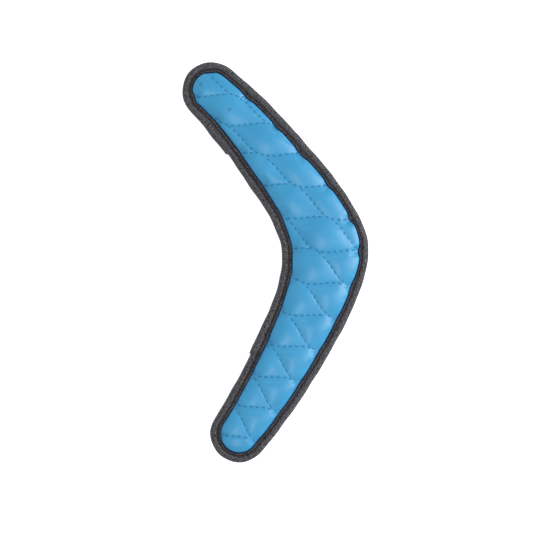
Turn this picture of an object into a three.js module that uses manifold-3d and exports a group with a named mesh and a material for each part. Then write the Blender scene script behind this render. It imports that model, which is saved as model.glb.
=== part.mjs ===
// A soft boomerang: two quilted covers over wadding and a foam core, bound round the rim with tape.
// Millimetres. +Y runs along the chord from the lower tip to the upper tip, +X towards the elbow,
// +Z up. The boomerang lies flat on its back cover.
import * as THREE from 'three';
import Module from 'manifold-3d';

const wasm = await Module();
wasm.setup();

// ---------------------------------------------------------------- driving dimensions

const ARM_RUN = 302;               // length of the spine, from one tip's centre to the other's
const UPPER_TIP = [-31.2, 131.4];  // centre of the upper tip's arc, before the outline is centred
// The spine's heading in degrees, and the half width, at distances along the spine.
const HEADINGS = [[0, -46.4], [48, -54.9], [94, -57.7], [120, -67.1], [138, -74.7], [154, -99.3],
  [172, -110.1], [200, -118.8], [248, -123.8], [302, -130.8]];
const HALF_WIDTHS = [[0, 21.8], [50, 25.1], [100, 27.9], [128, 30.3], [148, 32.5], [168, 30.6],
  [200, 28.1], [250, 25], [302, 21.6]];
const CAP_STEPS = 9;               // sides of each tip's half circle

const HALF_HEIGHT = 11;            // the pillow's, at its flat crown
const GAP = 0.3;                   // clearance between neighbouring pieces
const COVER = 1.6;                 // thickness of the outer cloth
const WADDING_EDGE = 0.5;          // wadding squeezed flat under the binding
const WADDING_FULL = 3.3;          // and at its full loft
const SEAM_HALF_GAP = 0.15;        // from the middle plane to the wadding, at the rim

const TAPE = 0.9;                  // thickness of the binding tape
const TAPE_FLANGE = 7.6;           // how far each half of the folded tape reaches in from the rim
const CREASE = 8;                  // where the covers start to rise out of the binding
const SHOULDER = 11.5;             // half way up the rise
const CROWN = 18;                  // where the rise ends and the flat crown starts
const CORE_EDGE = SHOULDER;        // the foam core's rim, in from the outline

const UPPER_JOINT = 45;            // distance along the spine of the tape joint on the upper arm
const LOWER_JOINT = 244;           // and of the one on the lower arm, both on the inner edge
const OVERLAP = 12;                // how far one tape end lies over the other
const RAMP = 10;                   // the length over which an overlying end climbs
const OVERLAY_LIFT = TAPE + GAP;

const SEAM_INSET = 5.4;            // the binding's seam, in from the rim
const SEAM_START = 0.4;            // the seam's first point, as a share of the step past the joint
const SEAM_OVERRUN = 0.15;         // how far the seam stays lifted past a cut tape end
const THREAD_WIDTH = 1;
const THREAD_HEIGHT = 0.5;
const THREAD_SUNK = 0.1;           // a quilt thread's top, below the cover's surface
const CHANNEL_SIDE = 0.3;          // clearance between a quilt thread and its channel
const CHANNEL_DEPTH = THREAD_SUNK + THREAD_HEIGHT + GAP;

// The quilt's wavy lines fan out from a far centre. Neighbours nearly touch at every crest.
const QUILT_CENTRE = [-652.5, 392.8];
const QUILT_RADIUS = 823.1;        // from that centre to one of the crests
const QUILT_WAVE = 65.7;           // wavelength along a line
const QUILT_TURN = THREE.MathUtils.degToRad(0.9453);    // angle between neighbouring lines
const QUILT_START = THREE.MathUtils.degToRad(-18.873);  // angle of the crests of line 0
const CREST_SPACE = 1.4;           // between two threads where they come closest
const QUILT_STEP = 7;              // station spacing along a thread
const [FIRST_LINE, LAST_LINE] = [-8, 26];      // more lines than reach the boomerang
const [LINE_START, LINE_END] = [-240, 90];     // and longer ones than cross it
const QUILT_MARGIN = CREASE + 1.2; // threads stop here, in from the rim
const SHORTEST_THREAD = 14;

// ---------------------------------------------------------------- materials

function material(colour, roughness) {
  return new THREE.MeshStandardMaterial({ color: colour, roughness, metalness: 0 });
}

const materials = {
  cover: material(0x4d9cc8, 0.72),
  wadding: material(0xe6e4de, 0.95),
  core: material(0xd9d3c4, 0.9),
  tape: material(0x4b4b4f, 0.85),
  quiltThread: material(0x3a7fae, 0.7),
  seamThread: material(0x2e2e32, 0.8),
};

// ---------------------------------------------------------------- outline

// Smooth value between the rows of a table of [distance, value].
function between(table, s) {
  const last = table.length - 1;
  let i = 0;
  while (i < last - 1 && s > table[i + 1][0]) i += 1;
  const slope = (a, b) => (table[b][1] - table[a][1]) / (table[b][0] - table[a][0]);
  const [s0, v0] = table[i];
  const [s1, v1] = table[i + 1];
  const m0 = slope(Math.max(i - 1, 0), i + 1);
  const m1 = slope(i, Math.min(i + 2, last));
  const h = s1 - s0;
  const t = (s - s0) / h;
  const t2 = t * t;
  const t3 = t2 * t;
  return (2 * t3 - 3 * t2 + 1) * v0 + (t3 - 2 * t2 + t) * h * m0
    + (3 * t2 - 2 * t3) * v1 + (t3 - t2) * h * m1;
}

// The spine as a fine chain of discs, whose outer edge is the boomerang's outline.
function walkSpine(step) {
  const discs = [];
  let [x, y] = UPPER_TIP;
  for (let s = 0; s <= ARM_RUN + 1e-6; s += step) {
    const heading = THREE.MathUtils.degToRad(between(HEADINGS, s));
    const half = between(HALF_WIDTHS, s);
    const taper = (between(HALF_WIDTHS, s + 0.5) - between(HALF_WIDTHS, s - 0.5));
    discs.push({ s, x, y, heading, half, taper });
    const ahead = THREE.MathUtils.degToRad(between(HEADINGS, s + step / 2));
    x += step * Math.cos(ahead);
    y += step * Math.sin(ahead);
  }
  return discs;
}

const discs = walkSpine(1);

// Where the spoke at a disc meets the outline, on the inner (-1) or outer (+1) edge.
function spokeAngle(disc, side) {
  return disc.heading + side * Math.acos(-disc.taper);
}

function along(disc, angle, inset) {
  const reach = disc.half - inset;
  return [disc.x + reach * Math.cos(angle), disc.y + reach * Math.sin(angle)];
}

// Distances along the spine that carry a spoke: close together round the elbow.
function spokeStations() {
  const rampUp = UPPER_JOINT - OVERLAP - RAMP;
  const rampDown = LOWER_JOINT - OVERLAP - RAMP;
  const runs = [[0, rampUp, 12], [rampUp, rampUp + RAMP, 10], [UPPER_JOINT - OVERLAP, UPPER_JOINT, 12],
    [UPPER_JOINT, 105, 15], [105, 125, 10], [125, 175, 7], [175, 196, 10.5], [196, rampDown, 13],
    [rampDown, rampDown + RAMP, 10], [LOWER_JOINT - OVERLAP, LOWER_JOINT, 12],
    [LOWER_JOINT, ARM_RUN, 14.5]];
  const stations = [0];
  for (const [from, to, step] of runs) {
    const count = Math.max(1, Math.round((to - from) / step));
    for (let i = 1; i <= count; i += 1) stations.push(Math.round(from + ((to - from) * i) / count));
  }
  return stations;
}

const stations = spokeStations();
const spokes = stations.map((s) => discs[s]);
const lastSpoke = spokes.length - 1;

// One closed ring at an inset from the outline, counter-clockwise from above: down the inner edge,
// round the lower tip, up the outer edge and round the upper tip.
function rawRing(inset) {
  const ring = spokes.map((disc) => along(disc, spokeAngle(disc, -1), inset));
  const cap = (disc, from, to) => {
    for (let i = 1; i < CAP_STEPS; i += 1) {
      ring.push(along(disc, from + ((to - from) * i) / CAP_STEPS, inset));
    }
  };
  const end = spokes[lastSpoke];
  cap(end, spokeAngle(end, -1), spokeAngle(end, 1));
  for (let i = lastSpoke; i >= 0; i -= 1) ring.push(along(spokes[i], spokeAngle(spokes[i], 1), inset));
  cap(spokes[0], spokeAngle(spokes[0], 1), spokeAngle(spokes[0], -1) + 2 * Math.PI);
  return ring;
}

// The outline is centred on the origin.
function boxCentre(ring) {
  const xs = ring.map((p) => p[0]);
  const ys = ring.map((p) => p[1]);
  return [(Math.min(...xs) + Math.max(...xs)) / 2, (Math.min(...ys) + Math.max(...ys)) / 2];
}

const centre = boxCentre(rawRing(0));
for (const disc of discs) {
  disc.x -= centre[0];
  disc.y -= centre[1];
}

const ringAt = (inset) => rawRing(inset);
const ringSize = ringAt(0).length;

// Distance in from the outline of any point inside it.
function depthInside(x, y) {
  let depth = -Infinity;
  for (const disc of discs) {
    depth = Math.max(depth, disc.half - Math.hypot(x - disc.x, y - disc.y));
  }
  return depth;
}

// ---------------------------------------------------------------- heights above the middle plane

// 0 under the binding, 1 on the crown, straight between the three rings where the layers bend.
function loft(inset) {
  const shoulderLoft = Math.sin(((SHOULDER - CREASE) / (CROWN - CREASE)) * (Math.PI / 2));
  if (inset <= CREASE) return 0;
  if (inset >= CROWN) return 1;
  if (inset < SHOULDER) return (shoulderLoft * (inset - CREASE)) / (SHOULDER - CREASE);
  return shoulderLoft + ((1 - shoulderLoft) * (inset - SHOULDER)) / (CROWN - SHOULDER);
}

const CORE_HALF = HALF_HEIGHT - COVER - GAP - WADDING_FULL - GAP;
const mix = (a, b, t) => a + (b - a) * t;
const waddingUnder = (inset) => mix(SEAM_HALF_GAP, CORE_HALF + GAP, loft(inset));
const waddingOver = (inset) => waddingUnder(inset) + mix(WADDING_EDGE, WADDING_FULL, loft(inset));
const coverUnder = (inset) => waddingOver(inset) + GAP;
const coverOver = (inset) => coverUnder(inset) + COVER;
const coreOver = (inset) => waddingUnder(inset) - GAP;
const TAPE_UNDER = coverOver(0) + GAP;

// ---------------------------------------------------------------- solids

// A mesh whose faces all point outwards, from corner points and triangles.
function closedGeometry(points, triangles) {
  let volume = 0;
  for (const [a, b, c] of triangles) {
    const [p, q, r] = [points[a], points[b], points[c]];
    volume += p[0] * (q[1] * r[2] - q[2] * r[1]) + p[1] * (q[2] * r[0] - q[0] * r[2])
      + p[2] * (q[0] * r[1] - q[1] * r[0]);
  }
  const faces = volume < 0 ? triangles.map(([a, b, c]) => [a, c, b]) : triangles;
  const geometry = new THREE.BufferGeometry();
  geometry.setAttribute('position', new THREE.Float32BufferAttribute(points.flat(), 3));
  geometry.setIndex(faces.flat());
  geometry.computeVertexNormals();
  return geometry;
}

// A layer between two height functions, as rings that step inwards and close on the spine.
function layerGeometry(insets, over, under) {
  const points = [];
  const triangles = [];
  const rings = insets.map(ringAt);
  const sheet = (height) => rings.map((ring, k) => {
    const first = points.length;
    for (const [x, y] of ring) points.push([x, y, height(insets[k])]);
    return first;
  });
  const quad = (a, b, c, d, up) => {
    if (up) triangles.push([a, b, c], [a, c, d]);
    else triangles.push([a, c, b], [a, d, c]);
  };
  const close = (firsts, up) => {
    for (let k = 0; k + 1 < firsts.length; k += 1) {
      for (let i = 0; i < ringSize; i += 1) {
        const j = (i + 1) % ringSize;
        quad(firsts[k] + i, firsts[k] + j, firsts[k + 1] + j, firsts[k + 1] + i, up);
      }
    }
    const inner = firsts[firsts.length - 1];
    const outerEdge = (i) => inner + 2 * lastSpoke + CAP_STEPS - i;
    for (let i = 0; i < lastSpoke; i += 1) {
      quad(inner + i, inner + i + 1, outerEdge(i + 1), outerEdge(i), up);
    }
    const fan = (hub, start) => {
      for (let i = 0; i + 1 < CAP_STEPS; i += 1) {
        const [a, b] = [start + i, start + i + 1].map((n) => inner + (n % ringSize));
        triangles.push(up ? [hub, a, b] : [hub, b, a]);
      }
    };
    fan(inner + lastSpoke, lastSpoke + 1);
    fan(outerEdge(0), 2 * lastSpoke + CAP_STEPS + 1);
  };
  const top = sheet(over);
  const bottom = sheet(under);
  close(top, true);
  close(bottom, false);
  for (let i = 0; i < ringSize; i += 1) {
    const j = (i + 1) % ringSize;
    quad(bottom[0] + i, bottom[0] + j, top[0] + j, top[0] + i, true);
  }
  return closedGeometry(points, triangles);
}

// A strip swept through cross-sections that each hold an outer and an inner row of points.
function sweptGeometry(sections) {
  const points = [];
  const triangles = [];
  const half = sections[0].length / 2;
  const size = 2 * half;
  for (const section of sections) points.push(...section);
  for (let k = 0; k + 1 < sections.length; k += 1) {
    for (let i = 0; i < size; i += 1) {
      const j = (i + 1) % size;
      const [a, b] = [k * size + i, k * size + j];
      triangles.push([a, b, b + size], [a, b + size, a + size]);
    }
  }
  const end = (first, forward) => {
    for (let i = 0; i + 1 < half; i += 1) {
      const [a, b] = [first + i, first + i + 1];
      const [c, d] = [first + size - 2 - i, first + size - 1 - i];
      const caps = [[a, c, b], [a, d, c]];
      for (const [p, q, r] of caps) triangles.push(forward ? [p, r, q] : [p, q, r]);
    }
  };
  end(0, false);
  end((sections.length - 1) * size, true);
  return closedGeometry(points, triangles);
}

// A flat ribbon along a line of [x, y, z] points, where z is the ribbon's underside.
function ribbonGeometry(line, width, height) {
  const sections = line.map(([x, y, z], i) => {
    const before = line[Math.max(i - 1, 0)];
    const after = line[Math.min(i + 1, line.length - 1)];
    const run = Math.hypot(after[0] - before[0], after[1] - before[1]);
    const nx = ((before[1] - after[1]) / run) * (width / 2);
    const ny = ((after[0] - before[0]) / run) * (width / 2);
    return [[x - nx, y - ny, z], [x + nx, y + ny, z],
      [x + nx, y + ny, z + height], [x - nx, y - ny, z + height]];
  });
  return sweptGeometry(sections);
}

function mirrored(geometry) {
  const position = geometry.getAttribute('position');
  const points = [];
  for (let i = 0; i < position.count; i += 1) {
    points.push([position.getX(i), position.getY(i), -position.getZ(i)]);
  }
  const index = geometry.getIndex().array;
  const triangles = [];
  for (let i = 0; i < index.length; i += 3) triangles.push([index[i], index[i + 1], index[i + 2]]);
  return closedGeometry(points, triangles);
}

function toManifold(geometry) {
  return new wasm.Manifold(new wasm.Mesh({
    numProp: 3,
    vertProperties: new Float32Array(geometry.getAttribute('position').array),
    triVerts: new Uint32Array(geometry.getIndex().array),
  }));
}

function fromManifold(solid) {
  const mesh = solid.getMesh();
  const points = [];
  const triangles = [];
  for (let i = 0; i < mesh.vertProperties.length; i += mesh.numProp) {
    points.push([...mesh.vertProperties.slice(i, i + 3)]);
  }
  for (let i = 0; i < mesh.triVerts.length; i += 3) {
    triangles.push([...mesh.triVerts.slice(i, i + 3)]);
  }
  return closedGeometry(points, triangles);
}

// ---------------------------------------------------------------- quilt threads

// A point on quilt line k, at a distance p from the crest that the lattice starts from.
function quiltPoint(k, p) {
  const radius = QUILT_RADIUS + p;
  const pitch = radius * QUILT_TURN;
  const swing = (pitch - CREST_SPACE) / 2;
  const sign = k % 2 === 0 ? 1 : -1;
  const across = sign * swing * Math.cos((2 * Math.PI * p) / QUILT_WAVE);
  const angle = QUILT_START - (k - 0.5) * QUILT_TURN - across / radius;
  return [
    QUILT_CENTRE[0] + radius * Math.cos(angle) - centre[0],
    QUILT_CENTRE[1] + radius * Math.sin(angle) - centre[1],
  ];
}

const depthAt = (k, p) => depthInside(...quiltPoint(k, p));

// The place between two others where line k is at a given depth in from the rim.
function crossing(k, from, to, level) {
  let [low, high] = [from, to];
  const startsInside = depthAt(k, low) > level;
  for (let i = 0; i < 9; i += 1) {
    const middle = (low + high) / 2;
    if ((depthAt(k, middle) > level) === startsInside) low = middle;
    else high = middle;
  }
  return (low + high) / 2;
}

// Places along line k, in order: the regular steps, and each place where the cover bends under it.
function linePlaces(k) {
  const bends = [];
  const regular = [];
  for (let p = LINE_START; p < LINE_END; p += QUILT_STEP) {
    regular.push(p);
    for (const level of [QUILT_MARGIN, SHOULDER, CROWN]) {
      const crosses = (depthAt(k, p) > level) !== (depthAt(k, p + QUILT_STEP) > level);
      if (crosses) bends.push(crossing(k, p, p + QUILT_STEP, level));
    }
  }
  const clear = regular.filter((p) => bends.every((bend) => Math.abs(p - bend) > QUILT_STEP / 3));
  return [...clear, ...bends].sort((a, b) => a - b);
}

// The stretches of every quilt line that lie inside the binding.
function quiltRuns() {
  const runs = [];
  for (let k = FIRST_LINE; k <= LAST_LINE; k += 1) {
    let run = [];
    for (const p of linePlaces(k)) {
      if (depthAt(k, p) > QUILT_MARGIN - 0.1) run.push(p);
      else {
        if (run.length > 1 && run[run.length - 1] - run[0] >= SHORTEST_THREAD) {
          runs.push(run.map((place) => quiltPoint(k, place)));
        }
        run = [];
      }
    }
  }
  return runs;
}

// The quilt line, lying below the cover's surface by a given depth.
function sunkLine(run, depth) {
  return run.map(([x, y]) => [x, y, coverOver(depthInside(x, y)) - depth]);
}

// The same line made a little longer at both ends.
function lengthened(line, extra) {
  const push = (from, to) => {
    const run = Math.hypot(to[0] - from[0], to[1] - from[1], to[2] - from[2]);
    return to.map((value, axis) => value + ((value - from[axis]) / run) * extra);
  };
  const last = line.length - 1;
  return [push(line[1], line[0]), ...line.slice(1, last), push(line[last - 1], line[last])];
}

const quiltLines = quiltRuns();

// ---------------------------------------------------------------- covers, wadding and core

const LAYER_INSETS = [TAPE + GAP, CREASE, SHOULDER, CROWN];

function channelledCover() {
  let cover = toManifold(layerGeometry(LAYER_INSETS, coverOver, coverUnder));
  for (const run of quiltLines) {
    const floor = lengthened(sunkLine(run, CHANNEL_DEPTH), CHANNEL_SIDE);
    const cutter = ribbonGeometry(floor, THREAD_WIDTH + 2 * CHANNEL_SIDE, 2 * CHANNEL_DEPTH);
    cover = cover.subtract(toManifold(cutter));
  }
  return fromManifold(cover);
}

function coreGeometry() {
  return layerGeometry([CORE_EDGE, CROWN], coreOver, (inset) => -coreOver(inset));
}

// ---------------------------------------------------------------- binding

// Ring positions that a tape passes, and how far an overlying end is lifted at each.
function tapeStations(from, to, liftedEnd) {
  const list = [];
  const count = (to - from + ringSize) % ringSize;
  for (let i = 0; i <= count; i += 1) {
    const spoke = (from + i) % ringSize;
    const left = count - i;
    list.push({ spoke, lift: liftedEnd && left < 2 ? OVERLAY_LIFT : 0 });
  }
  return list;
}

const spokeAt = (s) => stations.indexOf(s);
const upperJoint = spokeAt(UPPER_JOINT);
const upperUnder = spokeAt(UPPER_JOINT - OVERLAP);
const lowerJoint = spokeAt(LOWER_JOINT);
const lowerUnder = spokeAt(LOWER_JOINT - OVERLAP);

// The folded tape's cross-section at one ring position: outer row, then inner row.
function tapeSection({ spoke, lift }) {
  const at = (inset, z) => [...ringAt(inset)[spoke], z];
  const low = TAPE_UNDER + lift;
  const high = low + TAPE;
  const rim = -lift;
  const bevel = 0.9;
  return [
    at(TAPE_FLANGE, high), at(rim + bevel, high), at(rim, high - bevel),
    at(rim, bevel - high), at(rim + bevel, -high), at(TAPE_FLANGE, -high),
    at(TAPE_FLANGE, -low), at(rim + TAPE + 0.2, -low), at(rim + TAPE, 0.2 - low),
    at(rim + TAPE, low - 0.2), at(rim + TAPE + 0.2, low), at(TAPE_FLANGE, low),
  ];
}

function bindingTape(from, to) {
  return sweptGeometry(tapeStations(from, to, true).map(tapeSection));
}

// The seam thread runs once round the rim on top of the tapes, from just past the upper joint.
function seamLine() {
  const ring = ringAt(SEAM_INSET);
  const flat = TAPE_UNDER + TAPE + GAP;
  const lifted = (spoke) => (spoke === upperUnder || spoke === upperJoint
    || spoke === lowerUnder || spoke === lowerJoint);
  const line = [stepPast(ring, upperJoint, flat, SEAM_START)];
  for (let i = 1; i <= ringSize; i += 1) {
    const spoke = (upperJoint + i) % ringSize;
    const height = flat + (lifted(spoke) ? OVERLAY_LIFT : 0);
    line.push([...ring[spoke], height]);
    const atCutEnd = spoke === lowerJoint || spoke === upperJoint;
    if (atCutEnd) line.push(stepPast(ring, spoke, height, SEAM_OVERRUN));
  }
  return line;
}

// A point part of the way from one ring position to the next.
function stepPast(ring, spoke, height, share) {
  const [a, b] = [ring[spoke], ring[spoke + 1]];
  return [mix(a[0], b[0], share), mix(a[1], b[1], share), height];
}

// ---------------------------------------------------------------- assembly

const boomerang = new THREE.Group();
boomerang.position.z = HALF_HEIGHT;

function place(name, geometry, finish) {
  const mesh = new THREE.Mesh(geometry, finish);
  mesh.name = name;
  boomerang.add(mesh);
}

const cover = channelledCover();
const wadding = layerGeometry(LAYER_INSETS, waddingOver, waddingUnder);
const seam = ribbonGeometry(seamLine(), THREAD_WIDTH, THREAD_HEIGHT);

place('front_cover', cover, materials.cover);
place('back_cover', mirrored(cover), materials.cover);
place('front_wadding', wadding, materials.wadding);
place('back_wadding', mirrored(wadding), materials.wadding);
place('core_pad', coreGeometry(), materials.core);
place('outer_binding_tape', bindingTape(lowerUnder, upperJoint), materials.tape);
place('inner_binding_tape', bindingTape(upperUnder, lowerJoint), materials.tape);
place('binding_needle_thread', seam, materials.seamThread);
place('binding_bobbin_thread', mirrored(seam), materials.seamThread);

quiltLines.forEach((run, i) => {
  const number = String(i + 1).padStart(2, '0');
  const thread = ribbonGeometry(sunkLine(run, THREAD_SUNK + THREAD_HEIGHT), THREAD_WIDTH, THREAD_HEIGHT);
  place(`front_quilt_thread_${number}`, thread, materials.quiltThread);
  place(`back_quilt_thread_${number}`, mirrored(thread), materials.quiltThread);
});

export default boomerang;
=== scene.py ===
# A soft boomerang: quilted blue covers over wadding and foam, bound round the rim with grey tape.
# The script works in millimetres in the part's own frame and hands metres to Blender.
import math

import bpy
import numpy as np
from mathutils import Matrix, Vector
from mathutils.bvhtree import BVHTree
from mathutils.geometry import delaunay_2d_cdt


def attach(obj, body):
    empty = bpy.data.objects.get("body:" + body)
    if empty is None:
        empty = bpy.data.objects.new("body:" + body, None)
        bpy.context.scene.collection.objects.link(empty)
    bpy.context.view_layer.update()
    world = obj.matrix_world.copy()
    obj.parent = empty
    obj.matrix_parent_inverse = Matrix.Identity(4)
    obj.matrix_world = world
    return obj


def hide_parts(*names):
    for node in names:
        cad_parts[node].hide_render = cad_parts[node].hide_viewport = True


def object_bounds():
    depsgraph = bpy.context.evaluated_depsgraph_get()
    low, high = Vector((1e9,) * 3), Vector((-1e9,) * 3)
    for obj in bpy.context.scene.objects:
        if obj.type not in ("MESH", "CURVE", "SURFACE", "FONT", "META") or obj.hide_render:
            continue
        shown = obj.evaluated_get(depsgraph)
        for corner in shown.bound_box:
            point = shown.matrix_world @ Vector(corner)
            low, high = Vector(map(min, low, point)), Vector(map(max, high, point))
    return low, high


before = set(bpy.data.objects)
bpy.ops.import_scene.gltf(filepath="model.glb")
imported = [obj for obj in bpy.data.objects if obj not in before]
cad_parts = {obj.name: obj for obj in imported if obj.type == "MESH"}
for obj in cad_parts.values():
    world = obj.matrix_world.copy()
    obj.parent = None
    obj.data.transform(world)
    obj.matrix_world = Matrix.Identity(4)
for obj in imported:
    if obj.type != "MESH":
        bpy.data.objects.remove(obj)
cad_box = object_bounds()

MM = 0.001
BODY = "root"

# -------------------- sizes shared with the CAD part

# The outline is a chain of discs along a bent spine, from the upper tip to the lower.
ARM_RUN = 302.0
UPPER_TIP = (-31.2, 131.4)     # where the spine starts, before the toy is centred
# (distance along the spine, direction in degrees) and (distance, radius of the disc).
HEADINGS = ((0, -46.4), (48, -54.9), (94, -57.7), (120, -67.1), (138, -74.7), (154, -99.3),
            (172, -110.1), (200, -118.8), (248, -123.8), (302, -130.8))
HALF_WIDTHS = ((0, 21.8), (50, 25.1), (100, 27.9), (128, 30.3), (148, 32.5), (168, 30.6),
               (200, 28.1), (250, 25.0), (302, 21.6))
MID_HEIGHT = (cad_box[0].z + cad_box[1].z) / 2 / MM

TAPE_THICK = 0.9
TAPE_FLANGE = 7.6          # how far the folded tape reaches in from the rim
FOLD = 8.0                 # where the covers rise out of the binding
COVER_RIM = 2.5            # the cover's raw edge, inside the fold of the tape
COVER_EDGE_TOP = 2.55      # height of the cover's face under the tape, above the middle plane
COVER_THICK = 0.8
SEAM_INSET = 5.4
UPPER_JOINT = 45.0         # tape joints, as distances along the spine on the inner edge
LOWER_JOINT = 244.0
OVERLAP = 12.0

# The wavy quilt lines fan out from one far centre. Neighbours swing opposite ways.
QUILT_CENTRE = (-652.5, 392.8)
QUILT_RADIUS = 823.1       # from there to the crest that places along a line are counted from
QUILT_WAVE = 65.7          # from crest to crest
QUILT_TURN = math.radians(0.9453)              # from one line to the next
QUILT_START = math.radians(-18.873)
LINE_RANGE = (-8, 26)      # the lines, and the places along them, that may cross the toy
PLACE_RANGE = (-240.0, 90.0)
SEWN_TO = 8.3              # quilt threads show this far out, to the tape's edge
SHORTEST_THREAD = 15.5     # a line that shows for less than this has no thread of its own


# -------------------- outline

def between(table, s):
    """Smooth values between the rows of a table of (distance, value), for an array of distances."""
    xs = np.array([row[0] for row in table], float)
    ys = np.array([row[1] for row in table], float)
    slopes = np.gradient(ys, xs)
    slopes[1:-1] = (ys[2:] - ys[:-2]) / (xs[2:] - xs[:-2])
    i = np.clip(np.searchsorted(xs, s, side="right") - 1, 0, len(xs) - 2)
    h = xs[i + 1] - xs[i]
    t = (s - xs[i]) / h
    return ((2 * t**3 - 3 * t**2 + 1) * ys[i] + (t**3 - 2 * t**2 + t) * h * slopes[i]
            + (3 * t**2 - 2 * t**3) * ys[i + 1] + (t**3 - t**2) * h * slopes[i + 1])


def smooth_step(t):
    """0 to 1 with level ends."""
    t = np.clip(t, 0, 1)
    return t * t * (3 - 2 * t)


def lengths_along(points):
    """The arc length at each point of a line."""
    return np.concatenate([[0], np.cumsum(np.hypot(*np.diff(points, axis=0).T))])


def along_line(points, at):
    """Points at arc lengths along a line."""
    run = lengths_along(points)
    return np.column_stack([np.interp(at, run, points[:, 0]), np.interp(at, run, points[:, 1])])


def resampled(points, spacing):
    """The same line with points at an even spacing."""
    length = lengths_along(points)[-1]
    count = max(2, int(round(length / spacing)) + 1)
    return along_line(points, np.linspace(0, length, count))


PART = 2000                # how many points are measured at a time


class Spine:
    """The chain of discs whose outer edge is the outline, one disc for every millimetre."""

    def __init__(self):
        self.s = np.arange(0.0, ARM_RUN + 0.5, 1.0)
        self.heading = np.radians(between(HEADINGS, self.s))
        self.half = between(HALF_WIDTHS, self.s)
        self.taper = between(HALF_WIDTHS, self.s + 0.5) - between(HALF_WIDTHS, self.s - 0.5)
        ahead = np.radians(between(HEADINGS, self.s[:-1] + 0.5))
        self.x = UPPER_TIP[0] + np.concatenate([[0], np.cumsum(np.cos(ahead))])
        self.y = UPPER_TIP[1] + np.concatenate([[0], np.cumsum(np.sin(ahead))])
        edge = self.rim(0.0)[0]
        self.centre = (edge.min(axis=0) + edge.max(axis=0)) / 2
        self.x -= self.centre[0]
        self.y -= self.centre[1]

    def disc(self, s):
        """Heading, half width, taper and centre of the disc at any distance along the spine."""
        values = (self.heading, self.half, self.taper, self.x, self.y)
        return [np.interp(s, self.s, v) for v in values]

    def rim(self, step):
        """The outline as points, outward directions and distances along the spine, counter-clockwise
        from the upper tip's end of the inner edge. step 0 takes one point for every disc."""
        spots = self.s if step == 0 else np.linspace(0, ARM_RUN, int(ARM_RUN / step) + 1)
        heading, half, taper, x, y = self.disc(spots) if step else (
            self.heading, self.half, self.taper, self.x, self.y)
        lean = np.arccos(-taper)
        rows = []

        def side(order, sign):
            for i in order:
                rows.append((x[i], y[i], half[i], heading[i] + sign * lean[i], spots[i]))

        def cap(i, start, end):
            count = max(8, int(half[i] * abs(end - start) / (step or 1.0)))
            for k in range(1, count):
                angle = start + (end - start) * k / count
                rows.append((x[i], y[i], half[i], angle, spots[i]))

        last = len(spots) - 1
        side(range(len(spots)), -1)
        cap(last, heading[last] - lean[last], heading[last] + lean[last])
        side(range(last, -1, -1), 1)
        cap(0, heading[0] + lean[0], heading[0] - lean[0] + 2 * math.pi)
        table = np.array(rows)
        outward = np.column_stack([np.cos(table[:, 3]), np.sin(table[:, 3])])
        return table[:, :2] + table[:, 2:3] * outward, outward, table[:, 4]

    def depth(self, points):
        """How far each point lies inside the outline, and the half width there."""
        points = np.asarray(points, float)
        depth = np.empty(len(points))
        half = np.empty(len(points))
        for start in range(0, len(points), PART):
            part = points[start:start + PART]
            away = np.hypot(part[:, :1] - self.x, part[:, 1:2] - self.y)
            inside = self.half - away
            best = inside.argmax(axis=1)
            depth[start:start + PART] = inside[np.arange(len(part)), best]
            half[start:start + PART] = self.half[best]
        return depth, half


spine = Spine()
RIM_STEP = 0.4             # spacing of the outline's points


class Rim:
    """The outline by arc length: position, outward direction and distance along the spine."""

    def __init__(self):
        points, outward, s = spine.rim(RIM_STEP)
        closed = np.vstack([points, points[:1]])
        self.a = lengths_along(closed)
        self.length = self.a[-1]
        self.table = np.column_stack([closed, np.vstack([outward, outward[:1]])])
        self.spots = np.concatenate([s, s[:1]])
        inner = int(s.argmax())
        self.inner_a, self.inner_s = self.a[:inner + 1], s[:inner + 1]

    def at(self, a):
        """Points on the outline and outward directions at arc lengths a."""
        a = np.mod(a, self.length)
        x, y, nx, ny = (np.interp(a, self.a, self.table[:, i]) for i in range(4))
        size = np.hypot(nx, ny)
        return np.column_stack([x, y]), np.column_stack([nx / size, ny / size])

    def inset(self, a, depth):
        """Points at a depth in from the outline."""
        points, outward = self.at(a)
        return points - np.asarray(depth).reshape(-1, 1) * outward

    def ring(self, spacing, depth):
        """Points all round at an even spacing, at a depth in from the outline."""
        return self.inset(np.arange(0, self.length - spacing / 2, spacing), depth)

    def from_spine(self, s):
        """The arc length of the inner edge at a distance along the spine."""
        return float(np.interp(s, self.inner_s, self.inner_a))

    def spot(self, a):
        """Distances along the spine at arc lengths a."""
        return np.interp(np.mod(a, self.length), self.a, self.spots)

    def nearest(self, point):
        """The arc length of the outline's point nearest to a point."""
        away = np.hypot(self.table[:, 0] - point[0], self.table[:, 1] - point[1])
        return float(self.a[away.argmin()])


rim = Rim()


# -------------------- quilting

LINE_STEP = 0.7            # spacing of the places worked out along a quilt line
CREST_TOUCH = 0.3          # between neighbouring lines where they run together
LINES_REACH = FOLD - 1.5   # the lines run on under the tape to this far in from the rim
SHORTEST_LINE = 3.0
SHARED = 1.1               # lines nearer than this are sewn as one
STITCH = 3.2
STITCH_GAP = 1.4
SHORTEST_STITCH = 1.0
TIP_TOP = 0.9              # the top of the upper tip: the rim faces +Y there, by more than this
CREASE_GAP = 4.7           # from a quilt line to the second crease below it
CREASE_HALF_WIDTH = 0.9
LEVEL_FROM = 0.86          # how level a quilt line is where its second crease starts to show
LEVEL_BLEND = 0.1


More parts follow.
